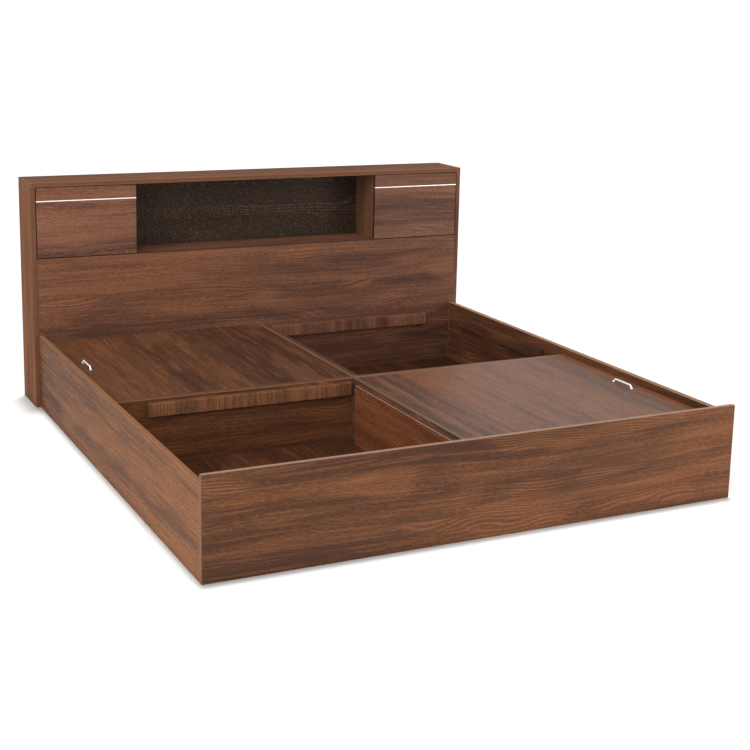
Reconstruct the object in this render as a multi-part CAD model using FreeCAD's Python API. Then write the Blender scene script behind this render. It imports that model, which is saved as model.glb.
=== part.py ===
import FreeCAD, Part
import math
import os

os.makedirs("parts", exist_ok=True)
V = FreeCAD.Vector

# Storage bed for a king mattress: a box of four compartments behind a foot panel,
# and a shallow headboard cabinet with an open niche between two doors.
# +X is to the right seen from the foot, +Y runs from foot to head, +Z is up.
# The origin is under the middle of the whole bed, on the ground.

# Board thicknesses
board = 18.0
cross_board = 25.0
lid_board = 12.0
floor_board = 9.0
back_sheet = 6.0
niche_board = 16.0
eased_edge = 0.8

# Mattress and the recess that it lies in
mattress_width = 1829.0
mattress_length = 1905.0
mattress_play = 15.0

# Heights above the ground
foot_panel_height = 325.0
rail_height = 295.0
lid_top_height = 268.0
floor_top_height = 36.0
lower_panel_height = 603.0
headboard_height = 905.0

# Lengths along the bed
front_compartment_length = 967.0
headboard_depth = 210.0
back_sheet_inset = 3.0

# Ledges beside the centre divider, cleats round the compartments, battens under the floors
front_ledge = 18.0
front_ledge_end_gap = 60.0
rear_ledge = 36.0
cleat_height = 50.0
cleat_depth = 20.0
cleat_corner = 5.0
front_cleat_inner_gap = 16.0
rear_cleat_inner_gap = 10.0
cleat_outer_gap = 132.0
rail_cleat_gap = 132.0
batten_width = 40.0
floor_gap = 1.0

# Lids and their bow handles
lid_gap = 2.0
handle_edge_distance = 55.0
handle_shift = 25.0
handle_foot_spacing = 110.0
handle_bar_length = 88.0
handle_rise = 12.0
handle_radius = 3.2
handle_bend_radius = 6.0
handle_boss_radius = 5.0
handle_boss_height = 5.0

# Niche, doors and their light inlay strips
niche_half_width = 533.0
partition_setback = 2.0
door_side_gap = 3.0
door_end_gap = 2.5
door_overlap = 2.0
inlay_height = 3.5
inlay_thickness = 3.0
inlay_drop = 52.0
inlay_proud = 0.3

# Pivot pins above and below each door, and the bushes that run on them
door_corner_play = 0.65
pivot_pin_radius = 2.5
pivot_pin_grip = 12.0
pivot_running_gap = 0.08
collar_radius = 4.5
collar_gap = 0.3
bush_radius = 4.5
bush_depth = 14.0

# Magnetic catches behind the doors
catch_length = 40.0
catch_height = 13.0
catch_body_depth = 12.0
catch_flange = 3.0
catch_flange_depth = 24.0
catch_gap = 0.3
catch_inset = 24.0
strike_thickness = 1.2
strike_height = 10.0
strike_clearance = 2.0

# Headboard stiffening
bottom_rail_height = 80.0
back_sheet_lift = 40.0
corner_batten = 25.0

# Cam fittings between the headboard's top and its sides
cam_radius = 7.5
cam_setback = 34.0
cam_past_bolt = 4.0
bolt_radius = 3.0
bolt_grip = 11.0
fit_gap = 0.2
top_cam_depth_shares = (0.3, 0.75)

# Hook and slot plates that hang the rails on the foot panel and the headboard
steel_plate = 2.5
plate_lift = 70.0
plate_height = 130.0
hook_plate_width = 12.0
slot_plate_width = 14.0
hook_thickness = 4.0
hook_nose = 4.0
hook_neck = 12.0
hook_height = 20.0
hook_gap = 0.3
hook_place_shares = (0.38, 0.88)

# Steel angles between the cross dividers and the rails
angle_leg = 40.0
angle_height = 100.0
angle_lift = 60.0

# Cuts run this far past the faces that they open
overrun = 1.0

# Places worked out across the bed
inner_half_width = (mattress_width + mattress_play) / 2
box_half_width = inner_half_width + board
headboard_half_width = box_half_width + board
divider_half = board / 2

# Places worked out along the bed
inner_length = mattress_length + mattress_play
total_length = board + inner_length + headboard_depth
foot_front = -total_length / 2
box_front = foot_front + board
cross_front = box_front + front_compartment_length
cross_rear = cross_front + cross_board
head_front = box_front + inner_length
head_rear = head_front + headboard_depth
door_rear = head_front + board
sheet_rear = head_rear - back_sheet_inset
sheet_front = sheet_rear - back_sheet

# Heights worked out
lid_under = lid_top_height - lid_board
floor_under = floor_top_height - floor_board
shelf_under = lower_panel_height - board
top_under = headboard_height - board
door_bottom = lower_panel_height + door_end_gap
door_top = top_under - door_end_gap
door_outer = box_half_width - door_side_gap
door_inner = niche_half_width + door_overlap

# The pivot stands far enough in for the door's outer corners to swing past the side panel:
# the corner's radius is the setback plus the side gap, less the play.
swing_gap = door_side_gap - door_corner_play
pivot_setback = ((board / 2) ** 2 - swing_gap ** 2) / (2 * swing_gap)
pivot_x = door_outer - pivot_setback
pivot_y = head_front + board / 2

# The sides are told apart by the sign of X
LEFT = -1
RIGHT = 1
SIDES = {LEFT: "left", RIGHT: "right"}

nodes = {}


def add(name, *solids):
    """Keeps one node: a single solid, or a group of separate like solids."""
    nodes[name] = solids[0] if len(solids) == 1 else Part.makeCompound(list(solids))


def block(xs, ys, zs):
    """A plain block between two values along each axis, given in any order."""
    low = V(min(xs), min(ys), min(zs))
    high = V(max(xs), max(ys), max(zs))
    size = high - low
    return Part.makeBox(size.x, size.y, size.z, low)


def panel(xs, ys, zs):
    """A board with every edge eased by a small chamfer."""
    solid = block(xs, ys, zs)
    return solid.makeChamfer(eased_edge, solid.Edges)


def across(side, inner, outer):
    """The X span between two distances from the middle, on one side of the bed."""
    return (side * inner, side * outer)


def rod(start, direction, length, radius):
    """A round bar from a start point along a unit direction."""
    return Part.makeCylinder(radius, length, start, direction)


# Cam fittings, and the cuts that boards get at the end

discs = []
bolts = []
cuts = {}


def cut_later(name, tool):
    """Remembers a bore that a board gets once all the fittings are placed."""
    cuts.setdefault(name, []).append(tool)


def cam_joint(holder, other, joint_point, into, face, thickness):
    """A cam let flush into one board, and the bolt that ties it to the next board."""
    depth = thickness / 2 + cam_past_bolt
    mouth = joint_point + into * cam_setback + face * (thickness / 2)
    discs.append(rod(mouth - face * depth, face, depth, cam_radius - fit_gap))
    cut_later(holder, rod(mouth - face * depth, face, depth + overrun, cam_radius))

    reach = cam_setback - cam_radius
    tip = joint_point - into * bolt_grip
    bolts.append(rod(tip, into, bolt_grip + reach, bolt_radius))
    cut_later(holder, rod(tip, into, bolt_grip + cam_setback, bolt_radius + fit_gap))
    cut_later(other, rod(tip, into, bolt_grip + overrun, bolt_radius + fit_gap))


def place_cam_fittings():
    """The cams in the headboard's sides, with their bolts up into its top."""
    for side, word in SIDES.items():
        middle = side * (box_half_width + board / 2)
        for share in top_cam_depth_shares:
            joint_point = V(middle, head_front + share * headboard_depth, top_under)
            cam_joint("headboard_" + word + "_side", "headboard_top", joint_point,
                      V(0, 0, -1), V(-side, 0, 0), board)
    add("cam_discs", *discs)
    add("cam_bolts", *bolts)


# Hook and slot plates

def hook_profile(x, y, away, top):
    """A hook that reaches through the slot plate and drops behind it, extruded across its thickness."""
    reach = steel_plate + hook_gap + hook_nose
    outline = ((0, 0), (reach, 0), (reach, -hook_height), (reach - hook_nose, -hook_height),
               (reach - hook_nose, -hook_neck), (0, -hook_neck), (0, 0))
    points = [V(x - hook_thickness / 2, y + away * depth, top + z) for depth, z in outline]
    return Part.Face(Part.makePolygon(points)).extrude(V(hook_thickness, 0, 0))


def rail_hanger(rail, other, x, y, away):
    """One end of a rail: a hook plate in its end and the slot plate in the board that it hangs on."""
    zs = (plate_lift, plate_lift + plate_height)
    across_hook = (x - hook_plate_width / 2, x + hook_plate_width / 2)
    across_slot = (x - slot_plate_width / 2, x + slot_plate_width / 2)
    slot_half = hook_thickness / 2 + hook_gap
    slot_xs = (x - slot_half, x + slot_half)
    hook_plate = block(across_hook, (y - away * steel_plate, y), zs)
    cut_later(rail, hook_plate)
    slot_plate = block(across_slot, (y, y + away * steel_plate), zs)
    cut_later(other, slot_plate)
    hooks = []
    # To hang the rail, its hooks go in above their seats and drop by what the nose stands below the neck.
    drop = hook_height - hook_neck + hook_gap
    pocket_end = steel_plate + hook_gap + hook_nose + hook_gap
    for share in hook_place_shares:
        top = plate_lift + share * plate_height
        hooks.append(hook_profile(x, y, away, top))
        slot_ys = (y - away * overrun, y + away * (steel_plate + overrun))
        slot_plate = slot_plate.cut(block(slot_xs, slot_ys, (top - hook_neck, top + drop)))
        pocket_zs = (top - hook_height - hook_gap, top + drop)
        cut_later(other, block(slot_xs, (y, y + away * pocket_end), pocket_zs))
    return hook_plate.multiFuse(hooks).removeSplitter(), slot_plate


def hang_rails():
    """The four rail ends, and the steel angles that hold the cross dividers to the rails."""
    hook_plates = []
    slot_plates = []
    angles = []
    for side, word in SIDES.items():
        x = side * (inner_half_width + board / 2)
        for other, y, away in (("foot_panel", box_front, -1), ("headboard_front_panel", head_front, 1)):
            hook_plate, slot_plate = rail_hanger(word + "_rail", other, x, y, away)
            hook_plates.append(hook_plate)
            slot_plates.append(slot_plate)
        zs = (angle_lift, angle_lift + angle_height)
        on_rail = block(across(side, inner_half_width - steel_plate, inner_half_width),
                        (cross_rear, cross_rear + angle_leg), zs)
        on_divider = block(across(side, inner_half_width - angle_leg, inner_half_width),
                           (cross_rear, cross_rear + steel_plate), zs)
        angles.append(on_rail.fuse(on_divider).removeSplitter())
    add("rail_hook_plates", *hook_plates)
    add("rail_slot_plates", *slot_plates)
    add("cross_divider_angles", *angles)


# Bed box: foot panel, rails and dividers

def make_box():
    """The five upright boards that stand on the ground and make the four compartments."""
    add("foot_panel", panel((-box_half_width, box_half_width),
                            (foot_front, box_front), (0, foot_panel_height)))
    add("centre_divider", panel((-divider_half, divider_half),
                                (box_front, head_front), (0, lid_top_height)))
    for side, word in SIDES.items():
        add(word + "_rail", panel(across(side, inner_half_width, box_half_width),
                                  (box_front, head_front), (0, rail_height)))
        add(word + "_cross_divider", panel(across(side, divider_half, inner_half_width),
                                           (cross_front, cross_rear), (0, lid_top_height)))


# Compartment furniture: ledge, cleats, floor and battens

def cleat(start, along, outward, length):
    """A bar fixed to a board's face at the lids' underside, its two free edges rounded."""
    def at(depth, z):
        return start + outward * depth + V(0, 0, z)

    low = lid_under - cleat_height
    low_turn = low + cleat_corner
    high_turn = lid_under - cleat_corner
    flat = cleat_depth - cleat_corner
    on_arc = cleat_corner * math.sqrt(0.5)
    edges = [
        Part.LineSegment(at(0, low), at(flat, low)),
        Part.Arc(at(flat, low), at(flat + on_arc, low_turn - on_arc), at(cleat_depth, low_turn)),
        Part.LineSegment(at(cleat_depth, low_turn), at(cleat_depth, high_turn)),
        Part.Arc(at(cleat_depth, high_turn), at(flat + on_arc, high_turn + on_arc), at(flat, lid_under)),
        Part.LineSegment(at(flat, lid_under), at(0, lid_under)),
        Part.LineSegment(at(0, lid_under), at(0, low)),
    ]
    outline = Part.Wire([edge.toShape() for edge in edges])
    return Part.Face(outline).extrude(along * length)


def compartment(side, is_front):
    """One compartment: its ledge, three cleats and floor panel. Returns its two floor battens."""
    name = ("front_" if is_front else "rear_") + SIDES[side]
    if is_front:
        # The front ledges stop short of both ends, and the end cleats run in past their ends.
        ys = (box_front, cross_front)
        ledge_ys = (ys[0] + front_ledge_end_gap, ys[1] - front_ledge_end_gap)
        ledge_face = divider_half + front_ledge
        inner_end = divider_half + front_cleat_inner_gap
    else:
        ys = (cross_rear, head_front)
        ledge_ys = ys
        ledge_face = divider_half + rear_ledge
        inner_end = ledge_face + rear_cleat_inner_gap
    add(name + "_ledge", panel(across(side, divider_half, ledge_face), ledge_ys,
                               (floor_top_height, lid_under)))

    outward = V(side, 0, 0)
    length = inner_half_width - cleat_outer_gap - inner_end
    front_cleat, rear_cleat = ("_foot_cleat", "_cross_cleat") if is_front else ("_cross_cleat", "_head_cleat")
    add(name + front_cleat, cleat(V(side * inner_end, ys[0], 0), outward, V(0, 1, 0), length))
    add(name + rear_cleat, cleat(V(side * inner_end, ys[1], 0), outward, V(0, -1, 0), length))
    rail_start = V(side * inner_half_width, ys[0] + rail_cleat_gap, 0)
    rail_length = ys[1] - ys[0] - 2 * rail_cleat_gap
    add(name + "_rail_cleat", cleat(rail_start, V(0, 1, 0), outward * -1, rail_length))

    add(name + "_floor", block(across(side, divider_half + floor_gap, inner_half_width - floor_gap),
                               (ys[0] + floor_gap, ys[1] - floor_gap), (floor_under, floor_top_height)))
    outer_batten = across(side, inner_half_width - batten_width, inner_half_width)
    inner_batten = across(side, divider_half, divider_half + batten_width)
    return [block(xs, ys, (0, floor_under)) for xs in (outer_batten, inner_batten)]


def make_compartments():
    """The four compartments; each end's four battens share one node."""
    for is_front, word in ((True, "front"), (False, "rear")):
        battens = []
        for side in SIDES:
            battens += compartment(side, is_front)
        add(word + "_floor_battens", *battens)


# Lids that lift off, with bow handles

def bend(before, corner, after, radius):
    """Start, middle and end of the arc that rounds a corner of a path."""
    back = (before - corner).normalize()
    ahead = (after - corner).normalize()
    half = back.getAngle(ahead) / 2
    run = radius / math.tan(half)
    bisector = (back + ahead).normalize()
    middle = corner + bisector * (radius / math.sin(half) - radius)
    return corner + back * run, middle, corner + ahead * run


def bow_handle(x, y, z):
    """A round bar bowed up from two bosses, its legs splayed outwards."""
    foot = handle_foot_spacing / 2
    top = handle_bar_length / 2
    path = [V(x, y - foot, z + handle_radius), V(x, y - top, z + handle_rise),
            V(x, y + top, z + handle_rise), V(x, y + foot, z + handle_radius)]
    first = bend(path[0], path[1], path[2], handle_bend_radius)
    last = bend(path[1], path[2], path[3], handle_bend_radius)
    spine = Part.Wire([
        Part.LineSegment(path[0], first[0]).toShape(),
        Part.Arc(*first).toShape(),
        Part.LineSegment(first[2], last[0]).toShape(),
        Part.Arc(*last).toShape(),
        Part.LineSegment(last[2], path[3]).toShape(),
    ])
    section = Part.Wire(Part.makeCircle(handle_radius, path[0], path[1] - path[0]))
    bar = spine.makePipeShell([section], True, False)
    bosses = [rod(V(x, y + end, z), V(0, 0, 1), handle_boss_height, handle_boss_radius)
              for end in (-foot, foot)]
    return bar.multiFuse(bosses).removeSplitter().Solids[0]


def make_lid(name, side, ys):
    """One lid, level with the dividers, with its handle near the rail and a little towards the head."""
    add(name + "_lid", panel(across(side, divider_half + lid_gap, inner_half_width - lid_gap),
                             (ys[0] + lid_gap, ys[1] - lid_gap), (lid_under, lid_top_height)))
    handle_x = side * (inner_half_width - lid_gap - handle_edge_distance)
    handle_y = (ys[0] + ys[1]) / 2 + handle_shift
    add(name + "_lid_handle", bow_handle(handle_x, handle_y, lid_top_height))


# Headboard cabinet

def make_headboard():
    """The carcass: sides, top, lower panel, shelf, niche, backs and stiffeners."""
    add("headboard_top", panel((-headboard_half_width, headboard_half_width),
                               (head_front, head_rear), (top_under, headboard_height)))
    add("headboard_front_panel", panel((-box_half_width, box_half_width),
                                       (head_front, door_rear), (0, lower_panel_height)))
    add("headboard_shelf", panel((-box_half_width, box_half_width),
                                 (door_rear, sheet_front), (shelf_under, lower_panel_height)))
    for side, word in SIDES.items():
        add("headboard_" + word + "_side", panel(across(side, box_half_width, headboard_half_width),
                                                 (head_front, head_rear), (0, top_under)))
        add("niche_" + word + "_partition", panel(across(side, niche_half_width, niche_half_width + board),
                                                  (door_rear + partition_setback, sheet_front),
                                                  (lower_panel_height, top_under)))
    add("niche_back_panel", block((-niche_half_width, niche_half_width),
                                  (sheet_front - niche_board, sheet_front), (lower_panel_height, top_under)))
    seam = lower_panel_height - board / 2
    for word, zs in (("upper", (seam, top_under)), ("lower", (back_sheet_lift, seam))):
        add("headboard_" + word + "_back", block((-box_half_width, box_half_width),
                                                 (sheet_front, sheet_rear), zs))
    rail_front = sheet_front - board
    add("headboard_bottom_rail", block((-box_half_width, box_half_width),
                                       (rail_front, sheet_front), (0, bottom_rail_height)))
    battens = [block(across(side, box_half_width - corner_batten, box_half_width),
                     (door_rear, door_rear + corner_batten), (0, shelf_under)) for side in SIDES]
    add("headboard_corner_battens", *battens)
    upright = block((-divider_half, divider_half), (door_rear, sheet_front), (0, shelf_under))
    notch = block((-divider_half - overrun, divider_half + overrun),
                  (rail_front, sheet_front + overrun), (-overrun, bottom_rail_height))
    add("headboard_centre_upright", upright.cut(notch))


# Doors, inlays, pivots and catches

def make_pivot(side, at_top):
    """One pivot: the pin with its collar, the door bush, and the seat that the bush needs."""
    into_door = V(0, 0, -1) if at_top else V(0, 0, 1)
    board_face = top_under if at_top else lower_panel_height
    door_end = door_top if at_top else door_bottom
    face_point = V(side * pivot_x, pivot_y, board_face)
    pin_start = face_point - into_door * pivot_pin_grip
    pin = rod(pin_start, into_door, pivot_pin_grip + door_end_gap + pivot_pin_grip, pivot_pin_radius)
    cut_later("headboard_top" if at_top else "headboard_front_panel", pin)
    collar = rod(face_point, into_door, door_end_gap - collar_gap, collar_radius)

    door_point = V(side * pivot_x, pivot_y, door_end)
    seat = rod(door_point, into_door, bush_depth, bush_radius)
    bore = rod(door_point - into_door * overrun, into_door, bush_depth + 2 * overrun,
               pivot_pin_radius + pivot_running_gap)
    return pin.fuse(collar).removeSplitter(), seat.cut(bore), seat


def make_doors():
    """Both doors with what they carry, and the pivots and catches that the carcass carries."""
    pins = []
    catches = []
    for side, word in SIDES.items():
        door = panel(across(side, door_inner, door_outer), (head_front, door_rear), (door_bottom, door_top))
        bushes = []
        for at_top in (True, False):
            pin, bush, seat = make_pivot(side, at_top)
            pins.append(pin)
            bushes.append(bush)
            door = door.cut(seat)
        strip_top = door_top - inlay_drop
        strip_zs = (strip_top - inlay_height, strip_top)
        groove = block(across(side, door_inner - overrun, door_outer + overrun),
                       (head_front - overrun, head_front + inlay_thickness), strip_zs)
        add(word + "_door", door.cut(groove))
        add(word + "_door_inlay", block(across(side, door_inner, door_outer),
                                        (head_front - inlay_proud, head_front + inlay_thickness), strip_zs))
        add(word + "_door_bushes", *bushes)

        # The strike plate lies on the door's back and the magnet hangs under the top board.
        catch_xs = across(side, door_inner + catch_inset, door_inner + catch_inset + catch_length)
        strike_top = door_top - strike_clearance
        add(word + "_door_strike", block(catch_xs, (door_rear, door_rear + strike_thickness),
                                         (strike_top - strike_height, strike_top)))
        magnet_front = door_rear + strike_thickness + catch_gap
        body = block(catch_xs, (magnet_front, magnet_front + catch_body_depth),
                     (top_under - catch_height, top_under))
        flange = block(catch_xs, (magnet_front, magnet_front + catch_flange_depth),
                       (top_under - catch_flange, top_under))
        catches.append(body.fuse(flange).removeSplitter())
    add("door_pivot_pins", *pins)
    add("door_catches", *catches)


make_box()
make_compartments()
make_lid("front_right", RIGHT, (box_front, cross_front))
make_lid("rear_left", LEFT, (cross_rear, head_front))
make_headboard()
make_doors()
hang_rails()
place_cam_fittings()
for name, tools in cuts.items():
    nodes[name] = nodes[name].cut(tools)

for name, shape in nodes.items():
    shape.exportStep("parts/" + name + ".step")
print(len(nodes), "nodes")
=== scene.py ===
import math

import bmesh
import bpy
import numpy as np
from mathutils import Matrix, Vector


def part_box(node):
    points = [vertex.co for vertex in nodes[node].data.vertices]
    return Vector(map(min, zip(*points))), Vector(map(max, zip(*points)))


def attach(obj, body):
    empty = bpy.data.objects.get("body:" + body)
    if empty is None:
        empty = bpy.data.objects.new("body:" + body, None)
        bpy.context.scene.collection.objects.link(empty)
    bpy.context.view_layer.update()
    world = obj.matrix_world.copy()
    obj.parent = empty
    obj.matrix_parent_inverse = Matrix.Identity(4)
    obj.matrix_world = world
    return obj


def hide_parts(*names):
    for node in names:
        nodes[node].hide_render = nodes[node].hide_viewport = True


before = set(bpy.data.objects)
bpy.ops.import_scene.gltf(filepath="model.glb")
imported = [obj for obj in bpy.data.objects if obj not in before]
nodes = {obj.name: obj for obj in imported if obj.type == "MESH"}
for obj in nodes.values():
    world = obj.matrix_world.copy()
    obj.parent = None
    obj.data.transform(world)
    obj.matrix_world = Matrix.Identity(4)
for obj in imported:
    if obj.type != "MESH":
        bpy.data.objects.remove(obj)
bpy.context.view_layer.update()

# The photograph's camera: focal length in pixels of a 750 pixel frame, place and range of sight in
# metres, turns in degrees, shift in frame widths, sensor in millimetres
FRAME_PIXELS = 750.0
FOCAL_PIXELS = 1421.6
CAMERA_PLACE = Vector((-2.1850, -4.6498, 1.6192))
CAMERA_YAW = 26.35
CAMERA_PITCH = 11.822
CAMERA_ROLL = 1.229
CAMERA_SHIFT_Y = -0.10
SENSOR_WIDTH = 36.0
NEAREST_SEEN = 0.1
FARTHEST_SEEN = 1500

# The floor's half width in metres, and the darkest and lightest of its mottling
FLOOR_REACH = 600.0
FLOOR_DARK = 0.41
FLOOR_LIGHT = 0.43

# The surroundings' brightness level with the eye and overhead, and the height on a sphere of
# radius 1 where overhead begins
SIDE_BRIGHTNESS = 1.35
TOP_BRIGHTNESS = 0.25
TOP_HEIGHT = 0.7
WHITE = (1.0, 1.0, 1.0)

# Bow handles on the lids, in metres, then a boss's shape in shares of its radius and height: it is
# straight up to the first, and its lower edge is softened to the other two
LID_TOP = 0.268
LID_UNDER = 0.256
HANDLE_X = 0.865
FRONT_HANDLE_Y = -0.5475
REAR_HANDLE_Y = 0.425
HANDLE_FOOT_HALF = 0.055
HANDLE_BAR_HALF = 0.044
HANDLE_RISE = 0.012
HANDLE_RADIUS = 0.0032
BOSS_RADIUS = 0.005
BOSS_HEIGHT = 0.005
BOSS_STRAIGHT = 0.45
BOSS_FOOT_RADIUS = 0.96
BOSS_FOOT_HEIGHT = 0.06

# Screw heads: their radii in metres, then a head's measures as shares of its radius
HANDLE_SCREW_RADIUS = 0.0042
ANGLE_SCREW_RADIUS = 0.0036
CATCH_SCREW_RADIUS = 0.0026
CROWN_RISE = 0.55
RIM_SUNK = 0.05
RECESS_DEPTH = 0.42
RECESS_ARM = 0.13
RECESS_WALL = 0.05
RECESS_REACH = 0.62
RECESS_FADE = 0.12
RECESS_TAPER = 0.8

# The steel angles' legs and plate in metres, and the screws' places as shares of leg and height
ANGLE_LEG = 0.040
ANGLE_PLATE = 0.0025
ANGLE_SCREW_OUT = 0.6
ANGLE_SCREW_HEIGHTS = (0.2, 0.8)

# The catches' screws, in metres from the ends, the back and the top of the catches' box
CATCH_SCREW_ENDS = (0.010, 0.030)
CATCH_SCREW_BACK = 0.006
CATCH_FLANGE = 0.003

# Points nearer than this, in metres, merge, and edges sharper than this, in degrees, stay sharp
MERGE_DISTANCE = 1e-7
SHARP_ANGLE = 42

# A board's narrow faces, and the line along its corners where the edge band meets the laminate:
# a painted highlight of the eased edge on most boards, and painted shade of the gap beside it on
# the lids, the rail cleats and the headboard's front panel
EDGE_FACE_DEPTH = 0.0004
CORNER_LINE = 0.0016


# How finishes are written

def paint(red, green, blue):
    """A screen colour, 0 to 255, in the linear values that a shader takes."""
    return tuple(((step / 255 + 0.055) / 1.055) ** 2.4 for step in (red, green, blue)) + (1.0,)


def grey(level):
    """A grey that is given in linear values."""
    return (level, level, level, 1.0)


class Signal:
    """One socket of a tree of nodes. Sums, products, powers and comparisons add Math nodes."""

    def __init__(self, tree, socket):
        self.tree = tree
        self.socket = socket

    def math(self, operation, first, second=0.0):
        return self.tree.add("ShaderNodeMath", {"operation": operation}, {0: first, 1: second})

    def __add__(self, other):
        return self.math("ADD", self, other)

    def __sub__(self, other):
        return self.math("SUBTRACT", self, other)

    def __rsub__(self, other):
        return self.math("SUBTRACT", other, self)

    def __mul__(self, other):
        return self.math("MULTIPLY", self, other)

    def __pow__(self, other):
        return self.math("POWER", self, other)

    def __lt__(self, other):
        return self.math("LESS_THAN", self, other)

    def sine(self):
        return self.math("SINE", self)

    __radd__ = __add__
    __rmul__ = __mul__


class Tree:
    """The nodes of a material or of the surroundings, written as expressions on signals."""

    def __init__(self, owner, coordinates):
        owner.use_nodes = True
        self.nodes = owner.node_tree.nodes
        self.links = owner.node_tree.links
        self.nodes.clear()
        self.place = self.add("ShaderNodeTexCoord", {}, {}, coordinates)

    def add(self, kind, settings, sockets, output=0):
        """Any node: its settings or ramp stops first, then the values or links of its sockets."""
        node = self.nodes.new(kind)
        for name, value in settings.items():
            if name == "stops":
                self.set_stops(node.color_ramp.elements, value)
            else:
                setattr(node, name, value)
        for key, value in sockets.items():
            if isinstance(value, Signal):
                self.links.new(value.socket, node.inputs[key])
            else:
                node.inputs[key].default_value = value
        return Signal(self, node.outputs[output]) if node.outputs else None

    @staticmethod
    def set_stops(elements, stops):
        elements.remove(elements[1])
        elements[0].position, elements[0].color = stops[0]
        for position, colour in stops[1:]:
            elements.new(position).color = colour


class Finish(Tree):
    """A material, and the ways in which its nodes are used."""

    def __init__(self, name):
        self.material = bpy.data.materials.new(name)
        super().__init__(self.material, "Object")

    def vector(self, operation, *values, output="Vector"):
        sockets = dict(enumerate(values))
        return self.add("ShaderNodeVectorMath", {"operation": operation}, sockets, output)

    def along(self, direction, vector):
        """How far a vector reaches in a direction."""
        return self.vector("DOT_PRODUCT", vector, direction, output="Value")

    def noise(self, cells, shift, detail=2.0, distortion=0.0, place=None):
        """Noise at the piece's own place or another, with so many cells a metre on X, Y and Z."""
        where = self.vector("MULTIPLY_ADD", place or self.place, cells, shift)
        sockets = {"Vector": where, "Scale": 1.0, "Detail": detail, "Distortion": distortion}
        return self.add("ShaderNodeTexNoise", {}, sockets, "Fac")

    def spread(self, value, low, high):
        """The value eased from 0 at low to 1 at high."""
        settings = {"interpolation_type": "SMOOTHSTEP"}
        sockets = {"Value": value, "From Min": low, "From Max": high}
        return self.add("ShaderNodeMapRange", settings, sockets, "Result")

    def mix(self, share, first, second):
        """The first colour turned into the second by a share."""
        sockets = {0: share, 6: first, 7: second}
        return self.add("ShaderNodeMix", {"data_type": "RGBA"}, sockets, 2)

    def ramp(self, value, stops):
        return self.add("ShaderNodeValToRGB", {"stops": stops}, {"Fac": value}, "Color")

    def close(self, colour, roughness, height, relief, gloss=0.5, metallic=0.0, coat=0.0):
        """The Principled shader with its bump, whose full height is that relief in metres."""
        bump = {"Strength": 1.0, "Distance": relief, "Height": height}
        normal = self.add("ShaderNodeBump", {}, bump, "Normal")
        shader = self.add("ShaderNodeBsdfPrincipled", {}, {
            "Base Color": colour, "Roughness": roughness, "Specular IOR Level": gloss,
            "Metallic": metallic, "Coat Weight": coat, "Normal": normal}, "BSDF")
        self.add("ShaderNodeOutputMaterial", {}, {"Surface": shader})
        return self.material


# Walnut laminate

AXES = {"x": 0, "y": 1, "z": 2}

WALNUT = [(66, 43, 33), (78, 50, 37), (91, 59, 42), (105, 68, 46), (120, 78, 53)]
FIGURE_LIGHT = (152, 100, 68)
FIGURE_DARK = (50, 33, 25)
SMOKE = (74, 51, 41)
PALE_BAND = (178, 142, 120)
TAN_BAND = (152, 106, 76)
BROWN_BAND = (108, 73, 53)
FRONT_BAND = (97, 68, 53)
OLIVE_BAND = (120, 88, 60)
PLUM_BAND = (84, 59, 52)
# Near-black edge band: the dark edge band's own colour, made near-black as painted shade of the
# narrow gaps round the doors and the headboard's front panel
NEAR_BLACK_BAND_AND_SHADE = (40, 27, 21)
# The corner lines' colours: the light ones are painted highlights of the boards' eased edges, and
# the darkest is painted shade of the gaps between boards
BRIGHT_CORNER_HIGHLIGHT = (205, 172, 146)
ROSE_CORNER_HIGHLIGHT = (196, 152, 134)
PALE_CORNER_HIGHLIGHT = (150, 108, 84)
RUSSET_LINE = (92, 56, 40)
# The darkest corner line is painted shade of the narrow gaps between boards
PAINTED_SHADE_LINE = (62, 42, 33)

# Cells a metre of the laminate's noises, across the grain and along it
SWAY_CELLS = (4.0, 1.3)
STEEP_SWAY_CELLS = (5.0, 2.1)
FINE_CELLS = (230, 50.0)
THREAD_CELLS = (170, 5.0)
WANDER_CELLS = (24, 3.5)
FIGURE_CELLS = (10, 2.6)
PORE_CELLS = (420, 65.0)
SMOKE_CELLS_ACROSS = 8.0
SMOKE_TO_BAND_LENGTH = 1.5

# The shares of the tone's three noises, and how far from a half their sum goes from dark to light
BANDS_IN_TONE = 0.46
STREAKS_IN_TONE = 0.22
FINE_IN_TONE = 0.32
TONE_REACH = 0.20

# Where each other noise starts to show and where it shows in full
SMOKE_RANGE = (0.50, 0.68)
LIGHT_THREAD_RANGE = (0.56, 0.64)
DARK_THREAD_RANGE = (0.43, 0.35)
FIGURE_RANGE = (0.52, 0.66)
PORE_RANGE = (0.56, 0.68)

# How much of a colour each noise brings, in shares of 1
SMOKE_SHARE = 0.4
THREAD_SHARE = 0.18
LIGHT_FIGURE_SHARE = 0.34
DARK_FIGURE_SHARE = 0.22
FIGURE_GROUND_SHARE = 0.12
PORE_SHARE = 0.4
BAND_GRAIN_SHARE = 0.5
CORNER_LINE_SHARE = 0.6

# The figure: its lines' turns in radians a metre, how far they wander, how much steeper they sway
FIGURE_TURNS = 560.0
FIGURE_WANDER = 8.0
FIGURE_STEEPNESS = 3.6

# The laminate's pressed grain and pores, in metres from lowest to highest
WALNUT_RELIEF = 0.00012


def stained(colour, stain):
    """A screen colour under a stain, which multiplies its red, green and blue."""
    return paint(*(min(step * share, 255) for step, share in zip(colour, stain)))


def along_grain(axis, across, along):
    """Cells a metre on each axis: few along the grain and many across it."""
    cells = [across, across, across]
    cells[axis] = along
    return cells


def board_middle_and_half(node):
    low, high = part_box(node)
    return (low + high) / 2, (high - low) / 2


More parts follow.
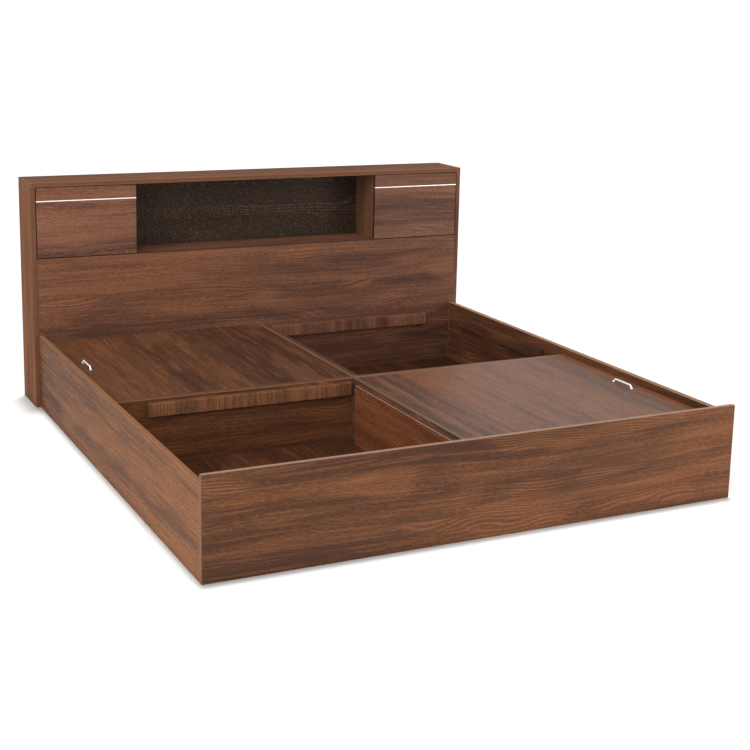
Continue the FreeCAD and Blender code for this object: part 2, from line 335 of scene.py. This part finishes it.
def band_masks(finish, node, axis):
    """Three masks of a board: its four narrow faces, the two of them that end the grain, and the
    line along its corners.

    With d the depth below the board's box on each axis, half size less distance from the middle, a
    narrow face is where the smaller depth of the two long axes is near 0, and the line is where the
    two smallest depths add up to less than its width. Light colours on the line are painted
    highlights of the eased edges, dark ones painted shade of the gaps between boards.
    """
    middle, half = board_middle_and_half(node)
    thin = min(range(3), key=lambda side: half[side])
    away = finish.vector("ABSOLUTE", finish.vector("SUBTRACT", finish.place, middle))
    depth = finish.vector("SUBTRACT", half, away)
    depths = [finish.add("ShaderNodeSeparateXYZ", {}, {0: depth}, side) for side in range(3)]
    x, y, z = depths
    long_sides = [depths[side] for side in range(3) if side != thin]
    face = x.math("MINIMUM", *long_sides) < EDGE_FACE_DEPTH
    end = depths[axis] < EDGE_FACE_DEPTH
    deepest = x.math("MAXIMUM", x, x.math("MAXIMUM", y, z))
    corner_shading = x + y + z - deepest < CORNER_LINE
    return face, end, corner_shading


def walnut(node, seed, grain, band=None, end_band=None, corner_shading=None, tone_shift=0.0,
           stain=(1, 1, 1), painted_light_slope=(0, 0, 0), contrast=1.0, gloss=0.10, figure=1.0, sway=0.06,
           widths=(16.0, 48.0), lengths=(0.8, 2.2)):
    """Walnut laminate for one board.

    Two slow noises sway the grain to and fro across the board, a gentle one for its bands and a
    steeper one for the figure, so that the figure's lines slant across the bands. The tone is the
    sum of noises drawn out along the grain: bands, streaks and fine grain. Widths are the cells a
    metre of the bands and the streaks across the grain, and lengths those along it. The figure's
    lines are the sine of the swayed distance across, raised to a power to thin them, where another
    slow noise is high. The tone's slope is what it gains from the board's middle to its high end on
    each axis: painted light and shade, lighter where the board is lit more and darker where it lies
    in shade. The edge band covers the narrow faces, the end band those that end the grain. The
    line along the corners is painted light too: a highlight on the eased edges where its colour is
    light, and shade of the gaps between boards where it is dark.
    """
    finish = Finish("walnut_" + node)
    axis = AXES[grain]
    shift = (seed * 3.7 + 0.4, seed * 5.3 + 1.1, seed * 2.9 + 2.3)
    middle, half = board_middle_and_half(node)
    across_axis = max((side for side in range(3) if side != axis), key=lambda side: half[side])
    across_unit = [float(side == across_axis) for side in range(3)]
    light = stained(FIGURE_LIGHT, stain)
    dark = stained(FIGURE_DARK, stain)

    def noise(cells, detail=2.0, distortion=0.0, place=None):
        """Noise with so many cells a metre across the grain and along it."""
        return finish.noise(along_grain(axis, *cells), shift, detail, distortion, place)

    def swayed(amount, cells):
        """The piece's own place, moved across the board by up to an amount."""
        sockets = {0: [unit * amount for unit in across_unit], "Scale": noise(cells, 1.0)}
        bend = finish.add("ShaderNodeVectorMath", {"operation": "SCALE"}, sockets)
        return finish.vector("ADD", finish.place, bend)

    place = swayed(sway, SWAY_CELLS)
    slow = noise((widths[0], lengths[0]), 2.0, 0.2, place)
    streak = noise((widths[1], lengths[1]), 3.0, 0.1, place)
    fine = noise(FINE_CELLS)
    tone = slow * BANDS_IN_TONE + streak * STREAKS_IN_TONE + fine * FINE_IN_TONE
    # Painted light and shade: the tone slopes up towards a board's lit end and down towards its
    # shaded one
    if any(painted_light_slope):
        from_middle = finish.vector("SUBTRACT", finish.place, middle)
        ends = finish.vector("MULTIPLY", from_middle, [1 / size for size in half])
        tone = tone + finish.along(painted_light_slope, ends)
    reach = TONE_REACH / contrast
    tone = finish.spread(tone, 0.5 - reach - tone_shift, 0.5 + reach - tone_shift)
    stops = [(index / 4, stained(colour, stain)) for index, colour in enumerate(WALNUT)]
    colour = finish.ramp(tone, stops)
    smoke_cells = (SMOKE_CELLS_ACROSS, lengths[0] * SMOKE_TO_BAND_LENGTH)
    smoke = finish.spread(noise(smoke_cells, 2.0, 0.3, place), *SMOKE_RANGE)
    colour = finish.mix(smoke * SMOKE_SHARE, colour, stained(SMOKE, stain))

    thread = noise(THREAD_CELLS, 1.0, place=place)
    light_thread = finish.spread(thread, *LIGHT_THREAD_RANGE) * (THREAD_SHARE * figure)
    dark_thread = finish.spread(thread, *DARK_THREAD_RANGE) * THREAD_SHARE
    colour = finish.mix(light_thread, colour, light)
    colour = finish.mix(dark_thread, colour, dark)
    across = finish.along(across_unit, swayed(sway * FIGURE_STEEPNESS, STEEP_SWAY_CELLS))
    turns = across * FIGURE_TURNS + noise(WANDER_CELLS) * FIGURE_WANDER
    ring = turns.sine() * 0.5 + 0.5
    shown = finish.spread(noise(FIGURE_CELLS, 1.5, place=place), *FIGURE_RANGE)
    light_line = (ring ** 5 * (LIGHT_FIGURE_SHARE * figure) + FIGURE_GROUND_SHARE) * shown
    dark_line = (1 - ring) ** 6 * shown * (DARK_FIGURE_SHARE * figure)
    colour = finish.mix(light_line, colour, light)
    colour = finish.mix(dark_line, colour, dark)

    pores = finish.spread(noise(PORE_CELLS, 1.0), *PORE_RANGE)
    colour = finish.mix(pores * PORE_SHARE, colour, dark)
    face, end, corner_shading_mask = band_masks(finish, node, axis)
    if band:
        band_colour = finish.mix(fine * BAND_GRAIN_SHARE, paint(*band), colour)
        colour = finish.mix(face, colour, band_colour)
    if end_band:
        colour = finish.mix(end, colour, paint(*end_band))
    # The corner line: a painted highlight of the eased edge where its colour is light, painted
    # shade of the gap beside the board where it is dark
    if corner_shading:
        colour = finish.mix(corner_shading_mask * CORNER_LINE_SHARE, colour, paint(*corner_shading))
    roughness = 0.42 + streak * 0.12 + pores * 0.1
    return finish.close(colour, roughness, fine * 0.6 - pores * 0.4, WALNUT_RELIEF, gloss=gloss)


# How each board's finish differs. A board's seed is its place in the list, unless it names one.
FLOOR = dict(grain="y", widths=(26.0, 70.0), sway=0.02, contrast=1.3, stain=(1.0, 0.95, 0.85))
# The lids' dark corner line is painted shade of the gaps round them
LID = dict(grain="y", band=BROWN_BAND, corner_shading=PAINTED_SHADE_LINE, widths=(20.0, 70.0), lengths=(0.35, 1.1),
           sway=0.03)
CROSS = dict(grain="x", band=BROWN_BAND, corner_shading=PALE_CORNER_HIGHLIGHT)
LEDGE = dict(grain="y", band=PLUM_BAND, corner_shading=PALE_CORNER_HIGHLIGHT)
# Each board's slope of tone along an axis is painted light and shade: the foot panel lighter to the
# right, the left rail darker towards the headboard, the rear left lid darker to the right, the
# front right lid lighter to the right as painted sheen, the headboard's front panel darker low down
# and to the right, and the shelf lighter towards the back
BOARDS = {
    "foot_panel": dict(
        grain="x", band=PALE_BAND, end_band=BROWN_BAND, corner_shading=RUSSET_LINE, tone_shift=-0.015,
        stain=(0.97, 0.945, 0.88), painted_light_slope=(0.04, 0, 0), contrast=1.2),
    "left_rail": dict(
        grain="y", band=TAN_BAND, corner_shading=PALE_CORNER_HIGHLIGHT, tone_shift=0.045, stain=(0.99, 0.985, 0.91),
        painted_light_slope=(0, -0.09, 0), contrast=1.2, gloss=0.05, figure=2.0, widths=(20.0, 60.0),
        lengths=(0.4, 1.2), sway=0.04),
    "right_rail": dict(
        grain="y", band=TAN_BAND, corner_shading=BRIGHT_CORNER_HIGHLIGHT, tone_shift=-0.06, stain=(0.96, 0.93, 0.86)),
    # The centre divider's darker tone is painted shade, matched to its shaded face in the rear
    # right compartment
    "centre_divider": dict(grain="y", band=OLIVE_BAND, tone_shift=-0.08, gloss=0.4),
    "left_cross_divider": dict(CROSS, tone_shift=-0.02, stain=(1.0, 0.95, 0.85)),
    "right_cross_divider": dict(CROSS, band=OLIVE_BAND, tone_shift=-0.02, gloss=0.4),
    "front_left_ledge": dict(
        LEDGE, corner_shading=ROSE_CORNER_HIGHLIGHT, tone_shift=0.05, stain=(1.04, 0.94, 0.84), figure=1.5),
    "front_right_ledge": LEDGE,
    "rear_left_ledge": LEDGE,
    "rear_right_ledge": LEDGE,
    # The compartment floors' lower tones are painted shade of the compartments, and the rear right
    # floor's far darker tone and stain are painted shade deepest in that compartment
    "front_left_floor": dict(FLOOR, tone_shift=-0.10),
    "front_right_floor": dict(FLOOR, tone_shift=-0.08),
    "rear_left_floor": dict(FLOOR, tone_shift=-0.08),
    "rear_right_floor": dict(FLOOR, tone_shift=-0.18, stain=(0.82, 0.76, 0.64)),
    "rear_left_lid": dict(
        LID, tone_shift=0.015, stain=(1.0, 0.98, 0.95), painted_light_slope=(-0.07, 0, 0), contrast=1.15,
        gloss=0.20, figure=1.6, widths=(14.0, 60.0)),
    # The front right lid's raised tone and warm stain are painted sheen over the lid's own colour
    "front_right_lid": dict(
        LID, tone_shift=0.05, stain=(1.05, 1.02, 0.95), painted_light_slope=(0.04, 0, 0), contrast=1.6,
        gloss=0.55, figure=2.0),
    "headboard_left_side": dict(
        grain="z", band=FRONT_BAND, tone_shift=0.04, stain=(1.0, 0.97, 0.90), gloss=0.01),
    "headboard_right_side": dict(grain="z"),
    "headboard_top": dict(
        grain="x", band=FRONT_BAND, corner_shading=PALE_CORNER_HIGHLIGHT, tone_shift=0.14, stain=(0.99, 0.95, 0.89),
        gloss=0.01),
    # The front panel's near-black band and dark corner line are painted shade of the gaps round it
    "headboard_front_panel": dict(
        grain="x", band=NEAR_BLACK_BAND_AND_SHADE, corner_shading=PAINTED_SHADE_LINE, tone_shift=0.005, stain=(0.99, 0.99, 1.04),
        painted_light_slope=(-0.04, 0, 0.06), seed=61),
    "headboard_shelf": dict(
        grain="x", tone_shift=0.12, stain=(1.08, 1.12, 1.24), painted_light_slope=(0, 0.06, 0)),
    "niche_left_partition": dict(grain="z", tone_shift=0.08, stain=(0.95, 1.0, 1.05)),
    "niche_right_partition": dict(grain="z", tone_shift=0.08, stain=(0.95, 1.0, 1.05)),
    # The doors' near-black band is painted shade in the gaps round them
    "left_door": dict(
        grain="x", band=NEAR_BLACK_BAND_AND_SHADE, tone_shift=0.06, stain=(0.98, 1.01, 1.12), contrast=1.4),
    "right_door": dict(grain="x", band=NEAR_BLACK_BAND_AND_SHADE, tone_shift=0.04, stain=(0.98, 1.02, 1.10)),
}

# The cleats of the two ends' compartments, and how each kind is finished
CLEATS = {"front": ("foot", "cross", "rail"), "rear": ("cross", "head", "rail")}
END_CLEAT = dict(grain="z", corner_shading=PALE_CORNER_HIGHLIGHT, tone_shift=0.08, contrast=1.3, sway=0.0,
                 widths=(30.0, 85.0))
CLEAT_KINDS = {
    "foot": END_CLEAT,
    "cross": END_CLEAT,
    "head": dict(END_CLEAT, corner_shading=ROSE_CORNER_HIGHLIGHT, tone_shift=0.03, stain=(0.94, 0.93, 0.98)),
    # The rail cleats' darker tone and dark corner line are painted shade inside the compartments
    "rail": dict(grain="y", corner_shading=PAINTED_SHADE_LINE, tone_shift=-0.13, stain=(0.95, 0.92, 0.86)),
}
FIRST_CLEAT_SEED = 40


# The other materials

# The niche back's two bands of flecks, in metres above the ground: where each starts and where it
# is full. Then its lines: turns in radians a metre, lean, wander, and where the lean begins.
LOW_BAND_RISE = (0.690, 0.715)
LOW_BAND_FALL = (0.775, 0.745)
HIGH_BAND_RISE = (0.835, 0.865)
BAND_WANDER = 0.06
WENGE_TURNS = 330.0
WENGE_LEAN = 400.0
WENGE_WANDER = 45.0
LEAN_START = 0.10
WENGE_FLECK_RANGE = (0.50, 0.76)


def wenge():
    """The niche's back: near-black laminate with golden flecks, thickest in two bands along it.

    The lines of the bands are the sine of the height plus a lean: level at the right, and sloping
    down to the right where x is below the lean's start, left of the middle.
    """
    finish = Finish("wenge_niche_back")
    shift = (3.1, 0.7, 5.9)
    slow = finish.noise((2.2, 9, 9), shift)
    length = finish.along((1, 0, 0), finish.place)
    height = finish.along((0, 0, 1), finish.place)
    lean = length.math("MINIMUM", length + LEAN_START, 0.0)
    turns = height * WENGE_TURNS + lean * WENGE_LEAN + slow * WENGE_WANDER
    ring = turns.sine() * 0.5 + 0.5
    level = height + (slow - 0.5) * BAND_WANDER
    low_band = finish.spread(level, *LOW_BAND_RISE) * finish.spread(level, *LOW_BAND_FALL)
    band = low_band + finish.spread(level, *HIGH_BAND_RISE)
    flecks = finish.noise((150, 460, 460), shift, detail=3.0, distortion=0.5)
    fleck = finish.spread(flecks + (ring - 0.35) * band * 0.14, *WENGE_FLECK_RANGE)
    ground = finish.ramp(slow, [(0.35, paint(33, 25, 20)), (0.65, paint(42, 33, 26))])
    colour = finish.mix(fleck * 0.8, ground, paint(114, 87, 58))
    return finish.close(colour, 0.55 - fleck * 0.08, height=flecks, relief=0.00015, gloss=0.10)


def softwood():
    """Sawn pine of the hidden battens: soft yellow with darker year rings along X."""
    finish = Finish("sawn_softwood")
    shift = (1.3, 4.1, 0.2)
    year = finish.noise((3, 38, 38), shift, distortion=0.4)
    fibre = finish.noise((30, 600, 600), shift)
    stops = [(0.36, paint(150, 110, 72)), (0.5, paint(198, 160, 113)), (0.64, paint(214, 182, 138))]
    colour = finish.ramp(year * 0.75 + fibre * 0.25, stops)
    return finish.close(colour, 0.72 + fibre * 0.1, height=fibre, relief=0.0004)


def hardboard():
    """The thin back sheets: pressed fibre, brown with short pale and dark flecks."""
    finish = Finish("pressed_hardboard")
    shift = (0.6, 2.2, 7.4)
    fibre = finish.noise((150, 150, 150), shift, detail=5.0, distortion=1.6)
    cloud = finish.noise((5, 5, 5), shift)
    stops = [(0.34, paint(72, 50, 37)), (0.5, paint(96, 68, 50)), (0.66, paint(126, 95, 70))]
    colour = finish.ramp(fibre * 0.9 + cloud * 0.1, stops)
    return finish.close(colour, 0.6 + fibre * 0.15, height=fibre, relief=0.0002)


def zinc():
    """Zinc-plated steel fittings: grey metal, faintly clouded, with a drawn grain."""
    finish = Finish("zinc_plated_steel")
    shift = (2.4, 0.3, 1.8)
    cloud = finish.noise((35, 35, 35), shift, detail=3.0)
    drawn = finish.noise((900, 900, 40), shift, detail=1.0)
    colour = finish.ramp(cloud, [(0.35, paint(142, 144, 148)), (0.65, paint(186, 187, 190))])
    roughness = 0.3 + cloud * 0.15 + drawn * 0.08
    return finish.close(colour, roughness, height=drawn, relief=0.00003, metallic=1.0)


def burnished():
    """The door pivots' pins: steel burnished dark, with a faint cloud."""
    finish = Finish("burnished_steel")
    shift = (1.7, 3.9, 0.6)
    cloud = finish.noise((220, 220, 220), shift)
    colour = finish.ramp(cloud, [(0.3, paint(52, 50, 49)), (0.7, paint(74, 71, 69))])
    return finish.close(colour, 0.4 + cloud * 0.15, height=cloud, relief=0.00002, metallic=1.0)


def nylon():
    """Moulded brown nylon, finely eroded."""
    finish = Finish("moulded_brown_nylon")
    shift = (5.2, 1.9, 3.3)
    erosion = finish.noise((1800, 1800, 1800), shift, detail=1.0)
    cloud = finish.noise((60, 60, 60), shift)
    colour = finish.ramp(cloud, [(0.3, paint(38, 30, 26)), (0.7, paint(56, 45, 38))])
    return finish.close(colour, 0.42 + erosion * 0.12, height=erosion, relief=0.00006)


def inlay():
    """The doors' white strip: glossy, with a trace of shading along its length."""
    finish = Finish("white_inlay")
    shift = (4.4, 2.6, 0.9)
    cloud = finish.noise((5, 40, 300), shift)
    colour = finish.ramp(cloud, [(0.3, paint(236, 234, 230)), (0.7, paint(250, 249, 247))])
    return finish.close(colour, 0.14 + cloud * 0.08, height=cloud, relief=0.00004, coat=0.4)


def chrome():
    """The handles' bright wire: plated and satin polished, faintly clouded and marked."""
    finish = Finish("satin_chrome")
    shift = (0.8, 6.1, 2.7)
    cloud = finish.noise((70, 70, 70), shift)
    marks = finish.noise((2500, 160, 2500), shift, detail=1.0)
    colour = finish.ramp(cloud, [(0.3, paint(249, 249, 249)), (0.7, paint(254, 254, 254))])
    roughness = 0.24 + cloud * 0.08 + marks * 0.04
    return finish.close(colour, roughness, height=marks, relief=0.000008, metallic=0.25)


def dress(node, material):
    slots = nodes[node].data.materials
    slots.clear()
    slots.append(material)


def dress_nodes(steel):
    """Gives every CAD node its finish; meshes stay as they were packed."""
    for seed, (node, terms) in enumerate(BOARDS.items()):
        dress(node, walnut(node, **{"seed": seed, **terms}))
    seed = FIRST_CLEAT_SEED
    for end, kinds in CLEATS.items():
        for side in ("left", "right"):
            for kind in kinds:
                node = f"{end}_{side}_{kind}_cleat"
                dress(node, walnut(node, seed, **CLEAT_KINDS[kind]))
                seed += 1
    shared = {
        wenge(): ["niche_back_panel"],
        softwood(): ["front_floor_battens", "rear_floor_battens", "headboard_corner_battens",
                     "headboard_centre_upright", "headboard_bottom_rail"],
        hardboard(): ["headboard_upper_back", "headboard_lower_back"],
        inlay(): ["left_door_inlay", "right_door_inlay"],
        nylon(): ["door_catches", "left_door_bushes", "right_door_bushes"],
        burnished(): ["door_pivot_pins"],
        steel: ["cam_discs", "cam_bolts", "rail_hook_plates", "rail_slot_plates",
                "cross_divider_angles", "left_door_strike", "right_door_strike"],
    }
    for material, names in shared.items():
        for node in names:
            dress(node, material)


# Turned and swept pieces

def ring_angles(sides):
    """The angles of a ring's points, the first at 0."""
    return np.linspace(0, 2 * math.pi, sides, endpoint=False)


def square_to(axis):
    """Two unit vectors square to an axis and to each other."""
    first = np.cross(axis, [0.3, 0.5, 0.8])
    first /= np.linalg.norm(first)
    return first, np.cross(axis, first)


def ring_quads(rings, sides):
    """Quads between each ring of points and the next, each ring closed on itself."""
    ring, side = np.meshgrid(np.arange(rings - 1), np.arange(sides), indexing="ij")
    after = (side + 1) % sides
    start = ring * sides
    corners = [start + side, start + after, start + sides + after, start + sides + side]
    return np.stack(corners, -1).reshape(-1, 4)


def swept_bar(path, radius, sides=20):
    """A round bar along a path in a plane of constant X, with a closed end at each end.

    With unit tangent t, the ring at a point is point + r (cos a * X + sin a * (X cross t)); r is
    the radius, and 0 on one more ring at each end.
    """
    tangent = np.gradient(path, axis=0)
    tangent /= np.linalg.norm(tangent, axis=1, keepdims=True)
    centres = np.concatenate([path[:1], path, path[-1:]])
    tangents = np.concatenate([tangent[:1], tangent, tangent[-1:]])
    radii = np.full(len(centres), radius)
    radii[[0, -1]] = 0
    sideways = np.array([1.0, 0.0, 0.0])
    upward = np.cross(sideways, tangents)[:, None, :]
    angle = ring_angles(sides)[None, :, None]
    ring = np.cos(angle) * sideways + np.sin(angle) * upward
    points = centres[:, None, :] + radii[:, None, None] * ring
    return points.reshape(-1, 3), ring_quads(len(centres), sides)


def turned(profile, centre, axis, sides=28):
    """A profile of radius and height pairs turned about an axis through a centre.

    Each point is centre + height * axis + radius (cos a * U + sin a * W), where U and W are square
    to the axis.
    """
    radius, height = np.array(profile, float).T
    axis = np.array(axis, float)
    first, second = square_to(axis)
    angle = ring_angles(sides)[:, None]
    ring = np.cos(angle) * first + np.sin(angle) * second
    points = np.array(centre) + height[:, None, None] * axis + radius[:, None, None] * ring
    return points.reshape(-1, 3), ring_quads(len(radius), sides)


def screw_head(centre, axis, radius, sides=40):
    """A pan head with a cross recess, standing out along its axis.

    With s the distance from the axis as a share of the radius R, the crown's height is
    rise R (1 - s^4)^(1/2), and its rim is sunk a little. The recess takes away depth where the
    smaller of the two distances from the cross's middle lines is less than its arm, with walls that
    slope, and it fades out at its reach.
    """
    share = np.concatenate([[0.0], np.linspace(0.06, 1.0, 17), [1.0]])
    crown = CROWN_RISE * radius * np.sqrt(np.clip(1 - share ** 4, 0, 1))
    crown[-1] = -RIM_SUNK * radius
    share = share[:, None]
    axis = np.array(axis, float)
    first, second = square_to(axis)
    angle = ring_angles(sides)
    across = share * np.cos(angle)
    upward = share * np.sin(angle)
    off_line = np.minimum(np.abs(across), np.abs(upward))
    arm = np.clip((RECESS_ARM - off_line) / RECESS_WALL, 0, 1)
    inside = np.clip((RECESS_REACH - share) / RECESS_FADE, 0, 1)
    taper = 1 - RECESS_TAPER * share
    height = crown[:, None] - RECESS_DEPTH * radius * arm * inside * taper
    points = (np.array(centre) + height[..., None] * axis
              + radius * (across[..., None] * first + upward[..., None] * second))
    return points.reshape(-1, 3), ring_quads(len(share), sides)


def make_piece(name, shapes, material, body):
    """Joins shapes into one piece that rides on a body; doubled points merge, faces turn out."""
    starts = np.cumsum([0] + [len(points) for points, _ in shapes])
    points = np.concatenate([points for points, _ in shapes])
    quads = np.concatenate([quads + start for (_, quads), start in zip(shapes, starts)])
    mesh = bpy.data.meshes.new(name)
    mesh.from_pydata(points.tolist(), [], quads.tolist())
    work = bmesh.new()
    work.from_mesh(mesh)
    bmesh.ops.remove_doubles(work, verts=work.verts, dist=MERGE_DISTANCE)
    bmesh.ops.recalc_face_normals(work, faces=work.faces)
    work.to_mesh(mesh)
    work.free()
    mesh.polygons.foreach_set("use_smooth", np.ones(len(mesh.polygons), bool))
    mesh.set_sharp_from_angle(angle=math.radians(SHARP_ANGLE))
    mesh.materials.append(material)
    piece = bpy.data.objects.new(name, mesh)
    bpy.context.scene.collection.objects.link(piece)
    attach(piece, body)
    return piece


def boss_profile():
    """A handle's boss: a softened lower edge, a straight side, and a dome up to its middle."""
    turn = np.linspace(0, math.pi / 2, 9)[:-1]
    dome = [(BOSS_RADIUS * math.cos(a),
             BOSS_HEIGHT * (BOSS_STRAIGHT + (1 - BOSS_STRAIGHT) * math.sin(a))) for a in turn]
    foot = (BOSS_RADIUS * BOSS_FOOT_RADIUS, 0), (BOSS_RADIUS, BOSS_HEIGHT * BOSS_FOOT_HEIGHT)
    return [(0, 0), *foot, *dome, (0, BOSS_HEIGHT)]


def bow_handle(lid, x, y, bright, steel):
    """A lid's wire handle on two turned bosses.

    Along the lid by s, the wire's height is rise (1 - e) + radius e, where e eases from 0 at the
    bar's end to 1 at the foot: e = q q (3 - 2 q), q = (|s| - bar half) / (foot half - bar half).
    """
    s = np.linspace(-HANDLE_FOOT_HALF, HANDLE_FOOT_HALF, 97)
    q = np.clip((np.abs(s) - HANDLE_BAR_HALF) / (HANDLE_FOOT_HALF - HANDLE_BAR_HALF), 0, 1)
    ease = q * q * (3 - 2 * q)
    z = LID_TOP + HANDLE_RISE * (1 - ease) + HANDLE_RADIUS * ease
    feet = (y - HANDLE_FOOT_HALF, y + HANDLE_FOOT_HALF)
    shapes = [swept_bar(np.stack([np.full_like(s, x), y + s, z], -1), HANDLE_RADIUS)]
    shapes += [turned(boss_profile(), (x, foot, LID_TOP), (0, 0, 1)) for foot in feet]
    handle = make_piece(lid + "_bow_handle", shapes, bright, lid + "_lid")
    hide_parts(lid + "_lid_handle")
    screws = [screw_head((x, foot, LID_UNDER), (0, 0, -1), HANDLE_SCREW_RADIUS) for foot in feet]
    make_piece(lid + "_handle_screws", screws, steel, lid + "_lid")


def angle_screws(steel):
    """Two screws in each leg of the angles between the cross dividers and the rails."""
    low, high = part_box("cross_divider_angles")
    out = ANGLE_LEG * ANGLE_SCREW_OUT
    heads = []
    for side in (-1, 1):
        for share in ANGLE_SCREW_HEIGHTS:
            z = low.z + share * (high.z - low.z)
            on_rail = (side * (high.x - ANGLE_PLATE), low.y + out, z)
            on_divider = (side * (high.x - out), low.y + ANGLE_PLATE, z)
            heads.append(screw_head(on_rail, (-side, 0, 0), ANGLE_SCREW_RADIUS))
            heads.append(screw_head(on_divider, (0, 1, 0), ANGLE_SCREW_RADIUS))
    make_piece("cross_divider_angle_screws", heads, steel, "root")


def catch_screws(steel):
    """Two screws up through the flange of each magnetic catch."""
    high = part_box("door_catches")[1]
    heads = []
    for side in (-1, 1):
        for inset in CATCH_SCREW_ENDS:
            place = (side * (high.x - inset), high.y - CATCH_SCREW_BACK, high.z - CATCH_FLANGE)
            heads.append(screw_head(place, (0, 0, -1), CATCH_SCREW_RADIUS))
    make_piece("door_catch_screws", heads, steel, "root")


# Floor, light and camera

def pale_floor():
    """The studio floor: a wide pale sheet, faintly mottled. Its own lamp lights it to white."""
    finish = Finish("pale_floor")
    cloud = finish.noise((0.6, 0.6, 0.6), (0.0, 0.0, 0.0))
    colour = finish.ramp(cloud, [(0.3, grey(FLOOR_DARK)), (0.7, grey(FLOOR_LIGHT))])
    near, far = -FLOOR_REACH, FLOOR_REACH
    corners = [(near, near, 0), (far, near, 0), (far, far, 0), (near, far, 0)]
    mesh = bpy.data.meshes.new("floor")
    mesh.from_pydata(corners, [], [(0, 1, 2, 3)])
    mesh.materials.append(finish.close(colour, 0.9, height=cloud, relief=0.0001, gloss=0.0))
    floor = bpy.data.objects.new("floor", mesh)
    bpy.context.scene.collection.objects.link(floor)
    lit = bpy.data.collections.new("floor_only")
    lit.objects.link(floor)
    light = soft_sun("floor_light", azimuth=204, elevation=85, spread=6.5, strength=5.0,
                     colour=WHITE)
    light.light_linking.receiver_collection = lit


def soft_sun(name, azimuth, elevation, spread, strength, colour):
    """A sun lamp as broad as a studio's soft box: azimuth 0 shines along +Y, and 90 along +X."""
    lamp = bpy.data.lights.new(name, "SUN")
    lamp.angle = math.radians(spread)
    lamp.energy = strength
    lamp.color = colour
    light = bpy.data.objects.new(name, lamp)
    light.rotation_euler = (math.radians(90 - elevation), 0, math.radians(-azimuth))
    bpy.context.scene.collection.objects.link(light)
    return light


def soft_box(name, place, target, size, power, colour):
    """A square area lamp at a place, turned to a target."""
    lamp = bpy.data.lights.new(name, "AREA")
    lamp.size = size
    lamp.energy = power
    lamp.color = colour
    light = bpy.data.objects.new(name, lamp)
    light.location = place
    light.rotation_euler = (Vector(target) - Vector(place)).to_track_quat("-Z", "Y").to_euler()
    light.visible_camera = False
    bpy.context.scene.collection.objects.link(light)


def surroundings():
    """White all round, and dimmer the higher one looks, down to the overhead brightness."""
    world = bpy.data.worlds.new("studio_surround")
    sky = Tree(world, "Generated")
    height = sky.add("ShaderNodeSeparateXYZ", {}, {"Vector": sky.place}, "Z")
    brightness = sky.add("ShaderNodeMapRange", {}, {
        "Value": height, "From Min": 0.0, "From Max": TOP_HEIGHT,
        "To Min": SIDE_BRIGHTNESS, "To Max": TOP_BRIGHTNESS}, "Result")
    shine = sky.add("ShaderNodeBackground", {}, {"Color": grey(1.0), "Strength": brightness})
    sky.add("ShaderNodeOutputWorld", {}, {"Surface": shine})
    bpy.context.scene.world = world
    bpy.context.scene.view_settings.view_transform = "Standard"


def studio():
    """A broad key light from the left, a weaker one from the front, and two soft boxes low at the
    front corners, in white surroundings."""
    surroundings()
    soft_sun("key_light", azimuth=58, elevation=42, spread=60, strength=2.2,
             colour=(1.0, 0.98, 0.96))
    soft_sun("fill_light", azimuth=-10, elevation=40, spread=70, strength=0.6, colour=WHITE)
    soft_box("right_light", place=(3.9, -4.0, 0.95), target=(0.6, -1.0, 0.3), size=1.8, power=75,
             colour=(1.0, 0.97, 0.94))
    soft_box("left_light", place=(-4.3, -3.2, 0.95), target=(-0.94, -0.9, 0.3), size=1.8, power=50,
             colour=(1.0, 0.97, 0.93))


def camera():
    """The photograph's viewpoint: yaw about Z, then pitch down, then roll about its own axis."""
    lens = bpy.data.cameras.new("photo_camera")
    lens.sensor_width = SENSOR_WIDTH
    lens.lens = FOCAL_PIXELS / FRAME_PIXELS * SENSOR_WIDTH
    lens.shift_y = CAMERA_SHIFT_Y
    lens.clip_start = NEAREST_SEEN
    lens.clip_end = FARTHEST_SEEN
    view = bpy.data.objects.new("photo_camera", lens)
    turn = (Matrix.Rotation(math.radians(-CAMERA_YAW), 4, "Z")
            @ Matrix.Rotation(math.radians(90 - CAMERA_PITCH), 4, "X")
            @ Matrix.Rotation(math.radians(CAMERA_ROLL), 4, "Z"))
    view.matrix_world = Matrix.Translation(CAMERA_PLACE) @ turn
    bpy.context.scene.collection.objects.link(view)
    bpy.context.scene.camera = view


zinc_steel = zinc()
bright_wire = chrome()
camera()
studio()
pale_floor()
dress_nodes(zinc_steel)
bow_handle("front_right", HANDLE_X, FRONT_HANDLE_Y, bright_wire, zinc_steel)
bow_handle("rear_left", -HANDLE_X, REAR_HANDLE_Y, bright_wire, zinc_steel)
angle_screws(zinc_steel)
catch_screws(zinc_steel)
